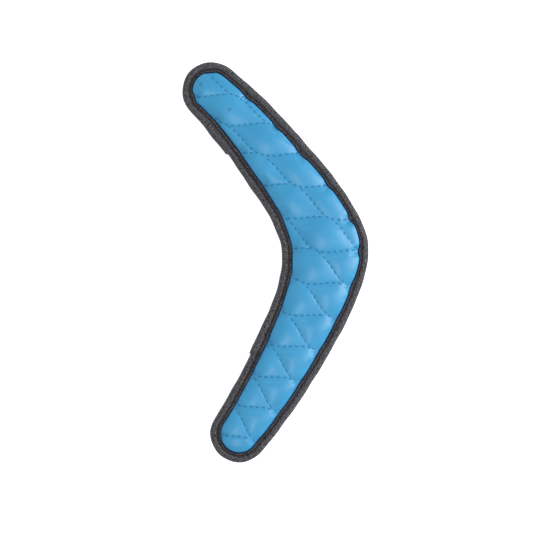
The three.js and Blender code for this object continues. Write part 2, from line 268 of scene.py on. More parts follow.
def quilt_point(k, p):
    """Points on wavy line k at distances p from the crest that the lattice starts from."""
    radius = QUILT_RADIUS + p
    swing = (radius * QUILT_TURN - CREST_TOUCH) / 2
    across = (1 if k % 2 == 0 else -1) * swing * np.cos(2 * math.pi * p / QUILT_WAVE)
    angle = QUILT_START - (k - 0.5) * QUILT_TURN - across / radius
    return np.column_stack([QUILT_CENTRE[0] + radius * np.cos(angle) - spine.centre[0],
                            QUILT_CENTRE[1] + radius * np.sin(angle) - spine.centre[1]])


def runs_inside(k, depth_limit, shortest):
    """The stretches of line k that lie deeper than a limit, as point arrays."""
    points = quilt_point(k, np.arange(*PLACE_RANGE, LINE_STEP))
    inside = spine.depth(points)[0] > depth_limit
    edges = np.flatnonzero(np.diff(np.concatenate([[0], inside.astype(int), [0]])))
    pieces = [points[a:b] for a, b in zip(edges[::2], edges[1::2])]
    return [piece for piece in pieces if len(piece) * LINE_STEP >= shortest]


NOWHERE = np.full((1, 2), 1e6)     # stands for the sewn points when none is sewn yet


def nearest_distance(points, others):
    """The distance from each point to the nearest of some others."""
    result = np.empty(len(points))
    for start in range(0, len(points), PART):
        part = points[start:start + PART]
        gap = np.hypot(part[:, :1] - others[:, 0], part[:, 1:2] - others[:, 1])
        result[start:start + PART] = gap.min(axis=1)
    return result


all_lines = [(k, run) for k in range(*LINE_RANGE)
             for run in runs_inside(k, LINES_REACH, SHORTEST_LINE)]
line_cloud = np.vstack([run for _, run in all_lines])
ends = np.array([rim.nearest(end) for _, run in all_lines for end in (run[0], run[-1])])
notches = ends[rim.at(ends)[1][:, 1] < TIP_TOP]
# For each point of the lines, how level the line is there: 0 upright, 1 level.
lie = np.vstack([np.gradient(run, axis=0) for _, run in all_lines])
line_level = np.abs(lie[:, 0]) / np.hypot(lie[:, 0], lie[:, 1])
threads = [(k, run) for k in range(*LINE_RANGE)
           for run in runs_inside(k, SEWN_TO, SHORTEST_THREAD)]


def crease(points):
    """The faint second crease below the level stretches of each quilt line, 0 to 1."""
    result = np.zeros(len(points))
    for start in range(0, len(points), PART):
        part = points[start:start + PART]
        dx = part[:, :1] - line_cloud[:, 0]
        dy = part[:, 1:2] - line_cloud[:, 1]
        gap = np.hypot(dx, dy)
        best = gap.argmin(axis=1)
        row = np.arange(len(part))
        below = smooth_step(-dy[row, best] / np.maximum(gap[row, best], 0.1) * 2 - 1)
        level = smooth_step((line_level[best] - LEVEL_FROM) / LEVEL_BLEND)
        across = np.exp(-((gap[row, best] - CREASE_GAP) / CREASE_HALF_WIDTH) ** 2)
        result[start:start + PART] = below * level * across
    return result


def from_notch(a):
    """Signed distances along the rim to the nearest place where a quilt line meets the binding."""
    gaps = np.mod(np.asarray(a)[:, None] - notches[None, :] + rim.length / 2, rim.length)
    gaps -= rim.length / 2
    return gaps[np.arange(len(gaps)), np.abs(gaps).argmin(axis=1)]


NOTCH_HALF_WIDTH = 3.8


def bulge(a):
    """0 where a quilt line meets the binding, 1 well away from any."""
    return 1 - np.exp(-(from_notch(a) / NOTCH_HALF_WIDTH) ** 2)


# How far in the tape reaches where a quilt line meets it, at distances along the spine.
REACHES = ((0, 8.0), (30, 8.4), (70, 8.2), (115, 7.4), (200, 7.2), (302, 7.3))
# How much less it reaches between two quilt lines, on the outer edge and on the inner.
OUTER_WAVES = ((0, 0.95), (110, 1.1), (140, 1.55), (165, 0.8), (200, 0.45), (302, 0.4))
INNER_WAVE = 0.45
SIDE_CHANGE = 15           # the length of rim over which one edge's wave gives way to the other's
TIP_EDGE = 13.9            # from the middle of the upper tip's disc to its straight edge


def edge_wave(a):
    """How far the tape's edge swings between two quilt lines."""
    a = np.mod(a, rim.length)
    inner = smooth_step(np.minimum(a, rim.inner_a[-1] - a) / SIDE_CHANGE + 0.5)
    outer = between(OUTER_WAVES, rim.spot(a))
    return outer + (INNER_WAVE - outer) * inner


def reach(a):
    """How far in from the rim the tape's edge lies. It runs straight across the upper tip."""
    wavy = between(REACHES, rim.spot(a)) - edge_wave(a) * bulge(a)
    straight = HALF_WIDTHS[0][1] - TIP_EDGE / np.maximum(rim.at(a)[1][:, 1], 0.5)
    return np.maximum(wavy, straight)


DENTS = ((UPPER_JOINT, 0.9), (LOWER_JOINT, 0.4))   # how far the rim is pulled in at each joint
DENT_LENGTH = 16.0


def dent(a):
    """How far the tape is pulled in from the plain outline at arc lengths a."""
    total = 0
    for joint, size in DENTS:
        away = np.mod(a - rim.from_spine(joint) + rim.length / 2, rim.length) - rim.length / 2
        total = total + size * np.exp(-(away / DENT_LENGTH) ** 2)
    return total


def pushed_in(a, inset):
    """An inset of the plain tape, moved to suit the tape's real reach there."""
    return inset + (inset / TAPE_FLANGE) ** 2 * (reach(a) - TAPE_FLANGE)


# -------------------- cover surface

GRID = 1.15                # point spacing of the simulated cloth
LINE_TOP = 8.5             # height of the quilt lines along the middle of the elbow
ELBOW_HALF = 31.6          # the half width there
WIDTH_POWER = 0.45         # how that height falls off along the narrower arms
CROWN_POWERS = (2.4, 0.45)     # how it falls off from the middle to the edge
PUFF_LOAD = 0.045          # bends the puffs into domes: curvature, per millimetre
ROLL_START = 8.3           # where the cloth comes up out of the binding
ROLL_END = 12.4            # where it stops bellying out over the binding
BELLY_PEAK = 0.25          # the share of the way between them where it bellies out most
OVERHANG = 0.8             # as a share of the edge's swing
FOLLOW_START = 5.5         # from here in, the cloth moves with the tape's wavy edge
FOLLOW_BLEND = 1.4
FOLLOW_FADE = 9.0          # and less and less so from here
FOLLOW_END = 16.0
NOTCH_DIP = 1.2            # how far the cloth dips where a quilt line meets the binding
NOTCH_FADE = (9.4, 14.4)
HELD_NEAR = 0.45           # cloth nearer than this to a quilt line is held down
DOME_STEPS = 700
BORDER_STEP = 2.4          # point spacing along the cloth's cut edge
UNDER_STEP = 2.0           # and in rings under the tape
UNDER_RINGS = (4.2, 5.6)
EDGE_STEP = 1.2            # and in rings at its edge
EDGE_RINGS = (6.9, 7.8, ROLL_START, 8.6, 8.95, 9.4)
LINES_FROM = 9.7           # points along the quilt lines start this far in
FILL_FROM = 10.1           # and those between them here
LINES_APART = 0.7          # the least distance between points, as shares of GRID: on the lines
FILL_APART = 0.68          # and between them


def line_height(depth, half):
    """Height of the sewn-down cloth above the middle plane, before any puffing."""
    u = np.clip((depth - ROLL_START) / (half - ROLL_START), 0, 1)
    top = LINE_TOP * (half / ELBOW_HALF) ** WIDTH_POWER
    crown = (1 - (1 - u) ** CROWN_POWERS[0]) ** CROWN_POWERS[1]
    return COVER_EDGE_TOP + (top - COVER_EDGE_TOP) * crown


def triangulated(border, *others):
    """Plan points inside a closed border, and the triangles between them."""
    points = np.vstack([border, *others])
    loop = [(i, (i + 1) % len(border)) for i in range(len(border))]
    _, _, faces, origin, _, _ = delaunay_2d_cdt([Vector(p) for p in points], loop, [], 1, 1e-7)
    return points[[ids[0] for ids in origin]], [tuple(face) for face in faces]


def cover_plan():
    """Plan points of one cover's cloth, and its triangles."""
    round_edge = np.arange(0, rim.length - BORDER_STEP / 2, BORDER_STEP)
    border = rim.inset(round_edge, COVER_RIM + dent(round_edge))
    under = [rim.ring(UNDER_STEP, depth) for depth in UNDER_RINGS]
    edge = [rim.ring(EDGE_STEP, depth) for depth in EDGE_RINGS]
    sewn = []
    for _, run in all_lines:
        row = resampled(run, GRID)
        taken = np.vstack(sewn) if sewn else NOWHERE
        row = row[nearest_distance(row, taken) > LINES_APART * GRID]
        sewn.append(row[spine.depth(row)[0] > LINES_FROM] if len(row) else row)
    sewn = np.vstack(sewn)
    size = (cad_box[1] - cad_box[0]) / MM / 2
    rows = []
    for j, y in enumerate(np.arange(-size.y, size.y, GRID * math.sqrt(3) / 2)):
        x = np.arange(-size.x, size.x, GRID) + (GRID / 2 if j % 2 else 0)
        rows.append(np.column_stack([x, np.full(len(x), y)]))
    fill = np.vstack(rows)
    fill = fill[spine.depth(fill)[0] > FILL_FROM]
    fill = fill[nearest_distance(fill, sewn) > FILL_APART * GRID]
    return triangulated(border, *under, *edge, sewn, fill)


def domed(faces, held):
    """Heights of a stretched sheet under an even load, held at zero where it is sewn."""
    pairs = np.array([(face[i], face[(i + 1) % 3]) for face in faces for i in range(3)])
    first = np.concatenate([pairs[:, 0], pairs[:, 1]])
    second = np.concatenate([pairs[:, 1], pairs[:, 0]])
    count = np.bincount(first, minlength=len(held))
    lift = PUFF_LOAD * GRID**2 / 4
    height = np.zeros(len(held))
    for _ in range(DOME_STEPS):
        mean = np.bincount(first, height[second], minlength=len(held)) / count
        height = np.where(held, 0, mean + lift)
    return height


def laid_cloth(plan, faces):
    """The cloth over its wadding before it is inflated, and which points are held. Its edge
    follows the tape's, and it bellies out between quilt lines."""
    depth, half = spine.depth(plan)
    held = (depth < ROLL_START + 0.1) | (nearest_distance(plan, line_cloud) < HELD_NEAR)
    height = line_height(depth, half) + domed(faces, held)
    place = plan.copy()
    near = np.flatnonzero((depth > FOLLOW_START) & (depth < FOLLOW_END))
    a = np.array([rim.nearest(plan[i]) for i in near])
    _, outward = rim.at(a)
    deep = depth[near]
    follow = smooth_step((deep - FOLLOW_START) / FOLLOW_BLEND)
    follow = follow * (1 - smooth_step((deep - FOLLOW_FADE) / (FOLLOW_END - FOLLOW_FADE)))
    t = (deep - ROLL_START) / (ROLL_END - ROLL_START)
    belly = smooth_step(t / BELLY_PEAK) * (1 - smooth_step((t - BELLY_PEAK) / (1 - BELLY_PEAK)))
    move = follow * (TAPE_FLANGE - reach(a)) + OVERHANG * edge_wave(a) * bulge(a) * belly
    place[near] += move[:, None] * outward
    fading = smooth_step((deep - NOTCH_FADE[0]) / (NOTCH_FADE[1] - NOTCH_FADE[0]))
    notch = (1 - bulge(a)) * smooth_step(deep - ROLL_START) * (1 - fading)
    height[near] -= NOTCH_DIP * notch
    return np.column_stack([place, height]), held


def mesh_object(name, points, faces):
    """A new object in the scene."""
    mesh = bpy.data.meshes.new(name)
    mesh.from_pydata([tuple(p) for p in points], [], faces)
    item = bpy.data.objects.new(name, mesh)
    bpy.context.scene.collection.objects.link(item)
    return item


def vertex_array(mesh):
    """A mesh's points, one in each row."""
    flat = np.empty(len(mesh.vertices) * 3, np.float32)
    mesh.vertices.foreach_get("co", flat)
    return flat.reshape(-1, 3)


def evaluated(item):
    """An object's mesh with its modifiers at work."""
    return item.evaluated_get(bpy.context.evaluated_depsgraph_get()).to_mesh()


SIM_SCALE = 0.01           # a millimetre of cloth in the simulation's metres
SIM_FRAMES = 22
PRESSURE = 8.0
CLOTH_GROWTH = -0.001      # negative shrinkage: the cloth is cut a little larger than it lies
MOST_MOVE = 4.0            # no point may move further than this in the simulation


def inflated(points, faces, pinned):
    """The cloth blown up by its wadding, held where it is sewn and bound."""
    cloth = mesh_object("cloth", points * SIM_SCALE, faces)
    group = cloth.vertex_groups.new(name="sewn")
    group.add([int(i) for i in np.flatnonzero(pinned)], 1.0, "REPLACE")
    modifier = cloth.modifiers.new("Cloth", "CLOTH")
    settings = modifier.settings
    settings.quality = 6
    settings.mass = 0.3
    settings.tension_stiffness = 20
    settings.compression_stiffness = 20
    settings.shear_stiffness = 12
    settings.bending_stiffness = 1.5
    settings.air_damping = 2
    settings.use_pressure = True
    settings.uniform_pressure_force = PRESSURE
    settings.shrink_min = CLOTH_GROWTH
    settings.vertex_group_mass = "sewn"
    settings.effector_weights.gravity = 0
    modifier.collision_settings.use_collision = False
    modifier.collision_settings.use_self_collision = False
    modifier.point_cache.frame_start = 1
    modifier.point_cache.frame_end = SIM_FRAMES
    scene = bpy.context.scene
    for number in range(1, SIM_FRAMES + 1):
        scene.frame_set(number)
    settled = vertex_array(evaluated(cloth))
    bpy.data.objects.remove(cloth)
    scene.frame_set(1)
    moved = settled / SIM_SCALE - points
    far = np.linalg.norm(moved, axis=1)
    print("cloth moved, mean and most:", far.mean(), far.max())
    return points + moved * np.minimum(1, MOST_MOVE / np.maximum(far, 1e-6))[:, None]


# -------------------- pieces

def new_piece(name, points, faces, finish, slot, replaced):
    """A mesh piece that rides on the toy's one body and stands for some CAD nodes."""
    piece = mesh_object(name, (points + np.array([0, 0, MID_HEIGHT])) * MM, faces)
    piece.data.update()
    piece.data.shade_smooth()
    piece.data.materials.append(finish)
    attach(piece, BODY)
    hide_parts(*replaced)
    return piece


def turned_over(points, faces):
    """The same surface on the toy's other face."""
    return points * np.array([1.0, 1.0, -1.0]), [tuple(reversed(face)) for face in faces]


def subdivided(points, faces):
    """One Catmull-Clark subdivision, as new points and faces."""
    coarse = mesh_object("coarse", points, faces)
    modifier = coarse.modifiers.new("Subdivision", "SUBSURF")
    modifier.levels = 1
    modifier.boundary_smooth = "PRESERVE_CORNERS"
    fine = evaluated(coarse)
    result = vertex_array(fine).astype(float), [tuple(p.vertices) for p in fine.polygons]
    bpy.data.objects.remove(coarse)
    return result


def add_map(piece, name, u, v):
    """A UV map from two values for each of a piece's points."""
    loops = np.empty(len(piece.data.loops), np.int32)
    piece.data.loops.foreach_get("vertex_index", loops)
    coords = np.column_stack([u[loops], v[loops]]).astype(np.float32)
    piece.data.uv_layers.new(name=name).data.foreach_set("uv", coords.ravel())


def border_loop(faces):
    """The directed edges that only one face uses."""
    edges = {(face[i], face[(i + 1) % len(face)]) for face in faces for i in range(len(face))}
    return [(a, b) for a, b in edges if (b, a) not in edges]


def shell(top, bottom, faces):
    """A closed solid between two surfaces that share their faces."""
    count = len(top)
    under = [tuple(i + count for i in reversed(face)) for face in faces]
    walls = [(b, a, a + count, b + count) for a, b in border_loop(faces)]
    return np.vstack([top, bottom]), list(faces) + under + walls


# -------------------- stitches

STITCH_DIP = 0.34          # how deep a stitch pulls its cloth down
STITCH_HALF_WIDTH = 0.62
FIRST_STITCHES = (0.4, 3.8, 2.1)   # where a line's first stitch starts, for each line in turn


def stitch_spans(run, offset):
    """Start and end of each stitch along a line, as arc lengths."""
    length = lengths_along(run)[-1]
    starts = np.arange(offset, length - SHORTEST_STITCH, STITCH + STITCH_GAP)
    return [(s, min(s + STITCH, length)) for s in starts]


def quilt_stitches():
    """For each quilt thread, its stitches as short runs of plan points. Where two lines run
    together only the first of them is sewn."""
    result = []
    sewn = NOWHERE
    for k, run in threads:
        spans = stitch_spans(run, FIRST_STITCHES[k % 3])
        row = [along_line(run, np.linspace(start, end, 7)) for start, end in spans]
        result.append([s for s in row if nearest_distance(s[3:4], sewn)[0] > SHARED])
        sewn = np.vstack([sewn, resampled(run, 0.5)])
    return result


stitches = quilt_stitches()


def dimple(points):
    """How strongly each plan point is pulled down by a stitch, 0 to 1."""
    middles = np.vstack([s[1:-1] for thread in stitches for s in thread])
    gap = nearest_distance(points, middles)
    return np.exp(-(gap / STITCH_HALF_WIDTH) ** 2)


# -------------------- covers

CREASE_DEPTH = 0.16
CREASE_FROM = 10           # the second crease starts this far in from the rim
CREASE_BLEND = 3
PUCKER_ZONE = (7.5, 13)
PUCKER_PITCH = 2.4         # little folds beside the end of each quilt line
PUCKER_HEIGHT = 0.4
PUCKER_SPREAD = 2.6        # how far they reach along the rim
PUCKER_DEPTH = 9.5         # how far in they are highest
PUCKER_LENGTH = 1.6
SPOTS = ((-50.9, 133.9), (-30.9, 113.7))     # two faint grey marks near the upper tip
SPOT_RADIUS = 1.3
SPOT_DIP = 0.3
SPOT_DIP_RADIUS = 1.5
# the fold map places the painted shade in the gap beside the tape
EDGE_ZONE = 12             # the fold map measures from the tape's edge up to this depth
WELL_INSIDE = 9.0          # and says this beyond it


def cover_cloth():
    """The front cover's face: simulated cloth, subdivided, with each stitch pulled in."""
    plan, faces = cover_plan()
    laid, held = laid_cloth(plan, faces)
    laid = inflated(laid, faces, held)
    points, faces = subdivided(laid, faces)
    depth, _ = spine.depth(points[:, :2])
    near = np.flatnonzero((depth > PUCKER_ZONE[0]) & (depth < PUCKER_ZONE[1]))
    away = from_notch([rim.nearest(points[i, :2]) for i in near])
    fold = np.cos(2 * math.pi * away / PUCKER_PITCH) * np.exp(-(away / PUCKER_SPREAD) ** 2)
    inward = np.exp(-((depth[near] - PUCKER_DEPTH) / PUCKER_LENGTH) ** 2)
    points[near, 2] += PUCKER_HEIGHT * fold * inward
    start = smooth_step((depth - CREASE_FROM) / CREASE_BLEND)
    points[:, 2] -= CREASE_DEPTH * crease(points[:, :2]) * start
    inside = depth > FOLD
    points[inside, 2] -= STITCH_DIP * dimple(points[inside, :2])
    from_spot = nearest_distance(points[:, :2], np.array(SPOTS))
    points[:, 2] -= SPOT_DIP * np.exp(-(from_spot / SPOT_DIP_RADIUS) ** 2)
    return points, faces


def add_shade_and_mark_map(piece, marked):
    """A UV map: how far in from the tape's edge each point of a cover lies, for the painted shade
    where the cloth turns down behind the tape, and how marked it is.
    """
    plan = vertex_array(piece.data)[:, :2].astype(float) / MM
    depth, _ = spine.depth(plan)
    beyond = np.full(len(plan), WELL_INSIDE)
    near = np.flatnonzero(depth < EDGE_ZONE)
    beyond[near] = depth[near] - reach(np.array([rim.nearest(plan[i]) for i in near]))
    mark = np.exp(-(nearest_distance(plan, np.array(SPOTS)) / SPOT_RADIUS) ** 2) * marked
    add_map(piece, "fold", beyond, mark)


def make_covers(finish):
    """Both covers, and the front one's surface for laying stitches on."""
    face, faces = cover_cloth()
    solid, sides = shell(face, face - [0, 0, COVER_THICK], faces)
    front = new_piece("quilted_cover_front", solid, sides, finish, "cover", ["front_cover"])
    back = new_piece("quilted_cover_back", *turned_over(solid, sides), finish, "cover",
                     ["back_cover"])
    for piece, marked in ((front, 1), (back, 0)):
        add_shade_and_mark_map(piece, marked)
    return BVHTree.FromPolygons([tuple(p) for p in face], faces)


def drop_height(surface, x, y):
    """Height of the cover's face over a plan point."""
    hit = surface.ray_cast(Vector((x, y, 40)), Vector((0, 0, -1)))[0]
    return hit.z if hit else COVER_EDGE_TOP


THREAD_SIDES = 8
THREAD_FLAT = 0.75         # thread lies pressed down to this share of its width
BLUNTNESS = 0.35           # of its ends: 0 square, 1 pointed


def thread_stitch(path, radius):
    """A closed, round-ended bit of thread along a short path of 3-D points."""
    path = np.asarray(path)
    sides = THREAD_SIDES
    tangent = np.gradient(path, axis=0)
    tangent /= np.linalg.norm(tangent, axis=1)[:, None]
    across = np.cross(tangent, [0, 0, 1.0])
    across /= np.linalg.norm(across, axis=1)[:, None]
    upward = np.cross(across, tangent)
    points, faces = [], []
    steps = len(path)
    for i in range(steps):
        share = math.sin(math.pi * (i + 0.6) / (steps + 0.2)) ** BLUNTNESS
        for j in range(sides):
            angle = 2 * math.pi * j / sides
            points.append(path[i] + radius * share * (math.cos(angle) * across[i]
                                                      + THREAD_FLAT * math.sin(angle) * upward[i]))
    for i in range(steps - 1):
        for j in range(sides):
            a, b = i * sides + j, i * sides + (j + 1) % sides
            faces.append((a, b, b + sides, a + sides))
    faces.append(tuple(range(sides - 1, -1, -1)))
    faces.append(tuple(range((steps - 1) * sides, steps * sides)))
    return points, faces


def joined(parts):
    """Several small meshes as one array of points and one list of faces."""
    points, faces = [], []
    for part_points, part_faces in parts:
        shift = len(points)
        points.extend(part_points)
        faces.extend(tuple(i + shift for i in face) for face in part_faces)
    return np.array(points), faces


THREAD_RADIUS = 0.4
STEEP_SHARE = 0.6          # an upright stitch, along Y, is this share as thick as a level one
STITCH_RISE = 0.34         # how far the middle of a stitch arches above its ends
STITCH_SINK = 0.16         # how far the ends sink into the cloth


def make_quilt_threads(surface, finish):
    """One piece for each quilt thread, on both faces, in place of the CAD's ribbons."""
    for number, thread in enumerate(stitches, start=1):
        parts = []
        for stitch in thread:
            rise = np.sin(np.linspace(0, math.pi, len(stitch)))
            path = [(x, y, drop_height(surface, x, y) + STITCH_RISE * r - STITCH_SINK)
                    for (x, y), r in zip(stitch, rise)]
            level = abs(stitch[-1][0] - stitch[0][0]) / STITCH
            thickness = STEEP_SHARE + (1 - STEEP_SHARE) * level
            parts.append(thread_stitch(path, THREAD_RADIUS * thickness))
        points, faces = joined(parts)
        name = f"quilt_thread_{number:02d}"
        new_piece(f"front_{name}_stitches", points, faces, finish, "quilt_thread",
                  [f"front_{name}"])
        new_piece(f"back_{name}_stitches", *turned_over(points, faces), finish, "quilt_thread",
                  [f"back_{name}"])


# -------------------- binding

TAPE_STEP = 0.45
RIB_PITCH = 1.8
RIB_HEIGHT = 0.12
CLIMB = 26.0               # the length over which a tape end climbs onto its neighbour
LAP_LIFT = TAPE_THICK + 0.3
FLANGE_HEIGHT = 3.0        # from this far off the middle plane the whole tape is lifted
FOLD_HEIGHT = 1.6          # up to here the tape is the fold round the rim
FOLD_INSET = 2.4
FOLD_THICK = 0.75
SQUEEZED = 0.35            # the tape's least thickness, where the seam pulls it in
CLEARANCE = 0.25           # between the tape's lining and the cover in it
WAVERS = ((0.12, 5.3, 0), (0.1, 2.9, 1.3))     # unevenness of the rim: size, length, phase
SLANT = 4.0                # how far a tape's cut end leans, from rim to flange
SLANT_LENGTH = 9           # the length of tape that leans with it


def tape_profile():
    """The folded tape's section, from the front flange's edge round the rim to the back one's:
    rows of (inset, height, how ribbed). The seam pulls in a groove near the flange's edge."""
    flange = [(TAPE_FLANGE, 3.2, 0.0), (TAPE_FLANGE - 0.05, 3.6, 0.0), (7.4, 3.86, 0.1),
              (7.05, 3.92, 0.2), (6.75, 3.88, 0.2), (6.4, 3.72, 0.1), (6.05, 3.45, 0.0),
              (5.7, 3.24, 0.0), (SEAM_INSET, 3.18, 0.0), (5.1, 3.26, 0.0), (4.8, 3.5, 0.2),
              (4.45, 3.8, 0.7), (3.9, 4.02, 1.0), (3.3, 4.12, 1.0), (2.7, 4.05, 1.0),
              (2.1, 3.85, 1.0), (1.5, 3.45, 1.0), (0.95, 2.9, 1.0), (0.5, 2.2, 1.0),
              (0.2, 1.4, 1.0), (0.05, 0.6, 1.0)]
    back = [(inset, -z, ribbed) for inset, z, ribbed in reversed(flange)]
    return np.array(flange + [(0.0, 0.0, 1.0)] + back)


def tape_cloth(start, end, slant):
    """A folded tape from one place on the rim to another, its far end lifted over its neighbour,
    and the arc lengths of its sections."""
    profile = tape_profile()
    count = int((end - start) / TAPE_STEP)
    a = np.linspace(start, end, count + 1)
    lift = LAP_LIFT * smooth_step((a - (end - OVERLAP - CLIMB)) / CLIMB)
    fade = smooth_step((a - (end - SLANT_LENGTH)) / SLANT_LENGTH)
    waver = sum(size * np.sin(a / length + start_turn) for size, length, start_turn in WAVERS)
    outer, inner = [], []
    for inset, z, ribbed in profile:
        place = a + slant * (inset / TAPE_FLANGE) * fade
        ribs = RIB_HEIGHT * ribbed * np.abs(np.sin(math.pi * place / RIB_PITCH))
        share = inset / TAPE_FLANGE
        depth = pushed_in(a, inset) + (dent(a) - lift - ribs - waver) * (1 - share)
        side = np.sign(z) * min(1.0, abs(z) / FLANGE_HEIGHT)
        outer.append(np.column_stack([rim.inset(place, depth), z + side * (lift + ribs * share)]))
    for inset, z, _ in profile[::-1]:
        place = a + slant * (inset / TAPE_FLANGE) * fade
        share = inset / TAPE_FLANGE
        side = np.sign(z) * min(1.0, abs(z) / FLANGE_HEIGHT)
        lining = max(abs(z) - TAPE_THICK, 0.0) * np.sign(z)
        if FOLD_INSET < inset < TAPE_FLANGE:
            lining = min(abs(z) - SQUEEZED, COVER_EDGE_TOP + CLEARANCE) * np.sign(z)
        if abs(z) < FOLD_HEIGHT:
            lining = z / 2
        depth = pushed_in(a, inset) + (dent(a) - lift) * (1 - share)
        if inset < FOLD_INSET:
            depth = depth + FOLD_THICK
        inner.append(np.column_stack([rim.inset(place, depth), lining + side * lift]))
    rows = np.array(outer + inner)
    size = len(rows)
    points = rows.transpose(1, 0, 2).reshape(-1, 3)
    faces = []
    for i in range(count):
        for j in range(size):
            k = (j + 1) % size
            faces.append((i * size + j, (i + 1) * size + j, (i + 1) * size + k, i * size + k))
    half = len(profile)
    for j in range(half - 1):
        quad = (j, j + 1, size - 2 - j, size - 1 - j)
        faces.append(quad)
        faces.append(tuple(reversed([count * size + n for n in quad])))
    return points, faces, a


def add_tape_map(piece, a):
    """A UV map: millimetres along the tape, and 0 at the rim to 1 at either flange's edge."""
    profile = tape_profile()
    run = lengths_along(profile[:, :2])
    share = np.abs(2 * run / run[-1] - 1)
    across = np.concatenate([share, share[::-1]])
    add_map(piece, "tape", np.repeat(a, len(across)), np.tile(across, len(a)))


def make_binding(finish):
    """The two tapes, with an overlapped joint on each arm."""
    upper, lower = rim.from_spine(UPPER_JOINT), rim.from_spine(LOWER_JOINT)
    for name, start, end, slant in (
            ("outer_binding_tape", lower - OVERLAP, upper + rim.length, SLANT),
            ("inner_binding_tape", upper - OVERLAP, lower, -SLANT)):
        points, faces, a = tape_cloth(start, end, slant)
        piece = new_piece(f"{name}_cloth", points, faces, finish, "tape", [name])
        add_tape_map(piece, a)


SEAM_PITCH = 2.6
SEAM_STITCH = 1.9
SEAM_HEIGHT = 3.13
SEAM_RISE = 0.22
SEAM_RADIUS = 0.34
SEAM_LAP = OVERLAP / 2     # from a joint to the middle of its overlap


def make_seams(finish):
    """The binding's seam threads, stitch by stitch, in the groove on each face."""
    joints = (rim.from_spine(LOWER_JOINT) - SEAM_LAP, rim.from_spine(UPPER_JOINT) + SEAM_LAP)
    parts = []
    for start in np.arange(0, rim.length - SEAM_PITCH, SEAM_PITCH):
        a = np.linspace(start, start + SEAM_STITCH, 6)
        plan = rim.inset(a, pushed_in(a, SEAM_INSET))
        near = min(abs(start - joint) for joint in joints)
        raised = LAP_LIFT * float(smooth_step(1 - (near - SEAM_LAP) / CLIMB))
        rise = np.sin(np.linspace(0, math.pi, len(a)))
        path = np.column_stack([plan, SEAM_HEIGHT + raised + SEAM_RISE * rise])
        parts.append(thread_stitch(path, SEAM_RADIUS))
    points, faces = joined(parts)
    new_piece("binding_needle_thread_stitches", points, faces, finish, "seam_thread",
              ["binding_needle_thread"])
    new_piece("binding_bobbin_thread_stitches", *turned_over(points, faces), finish,
              "seam_thread", ["binding_bobbin_thread"])


# -------------------- wadding and core

PAD_GRID = 3.0
WADDING_EDGE = 3.4         # how far in from the rim the wadding starts
CORE_EDGE = 11.0           # and the core
PAD_GAP = 0.3              # between a cover and its wadding
CORE_GAP = 0.4             # between the wadding and the core
WADDING_LOFT = (0.25, 2.0)     # its thickness at the rim, and what it gains further in
LOFT_RUN = 8               # over this distance
FEEL_ROUND = 2.2           # the pad stays under the lowest cover within this distance


def pad_plan(first_depth):
    """A coarse plan for the pads inside the covers."""
    size = (cad_box[1] - cad_box[0]) / MM / 2
    xs, ys = np.meshgrid(np.arange(-size.x, size.x, PAD_GRID), np.arange(-size.y, size.y, PAD_GRID))
    fill = np.column_stack([xs.ravel(), ys.ravel()])
    fill = fill[spine.depth(fill)[0] > first_depth + PAD_GRID / 2]
    return triangulated(rim.ring(PAD_GRID, first_depth), fill)


def under_cover(surface, plan):
    """The height just below the cover round each plan point."""
    turns = [math.pi * k / 3 for k in range(6)]
    ring = [(0, 0)] + [(FEEL_ROUND * math.cos(t), FEEL_ROUND * math.sin(t)) for t in turns]
    heights = [min(drop_height(surface, x + dx, y + dy) for dx, dy in ring) for x, y in plan]
    return np.array(heights) - COVER_THICK - PAD_GAP


def make_pads(surface, wadding_finish, core_finish):
    """The wadding under each cover and the foam core between them."""
    plan, faces = pad_plan(WADDING_EDGE)
    depth, _ = spine.depth(plan)
    loft = WADDING_LOFT[0] + WADDING_LOFT[1] * np.clip((depth - FOLD) / LOFT_RUN, 0, 1)
    top = np.maximum(under_cover(surface, plan), 0.4)
    bottom = np.maximum(top - loft, 0.1)
    solid, sides = shell(np.column_stack([plan, top]), np.column_stack([plan, bottom]), faces)
    new_piece("wadding_front", solid, sides, wadding_finish, "wadding", ["front_wadding"])
    new_piece("wadding_back", *turned_over(solid, sides), wadding_finish, "wadding",
              ["back_wadding"])
    plan, faces = pad_plan(CORE_EDGE)
    top = np.maximum(under_cover(surface, plan) - sum(WADDING_LOFT) - CORE_GAP, 0.3)
    solid, sides = shell(np.column_stack([plan, top]), np.column_stack([plan, -top]), faces)
    core = new_piece("foam_core", solid, sides, core_finish, "core", ["core_pad"])


# -------------------- materials

# Scales of the procedural textures: how many features they have to the metre.
CLOUD_SCALE = 55
GRAIN_SCALE = 2600
FLECK_SCALE = 1050
PIT_SCALE = 210
FIBRE_SCALE = 3000
FUZZ_SCALE = 700
PAPER_SCALE = 3
YARN_TONE = 0.045          # how far the cross yarns change the tape's tone


def base_material(name, colour, roughness):
    """A new material, with its nodes, links and shader."""
    material = bpy.data.materials.new(name)
    material.use_nodes = True
    nodes, links = material.node_tree.nodes, material.node_tree.links
    shader = nodes["Principled BSDF"]
    shader.inputs["Base Color"].default_value = (*colour, 1)
    shader.inputs["Roughness"].default_value = roughness
    return material, nodes, links, shader


def linear(r, g, b):
    """Scene colour from a display colour."""
    def one(v):
        v /= 255
        return v / 12.92 if v <= 0.04045 else ((v + 0.055) / 1.055) ** 2.4
    return one(r), one(g), one(b)


def ramp(nodes, links, source, low, high, stops=(0.3, 0.7)):
    """A colour ramp between two colours, driven by a value."""
    node = nodes.new("ShaderNodeValToRGB")
    node.color_ramp.elements[0].position = stops[0]
    node.color_ramp.elements[1].position = stops[1]
    node.color_ramp.elements[0].color = (*low, 1)
    node.color_ramp.elements[1].color = (*high, 1)
    links.new(source, node.inputs["Fac"])
    return node.outputs["Color"]


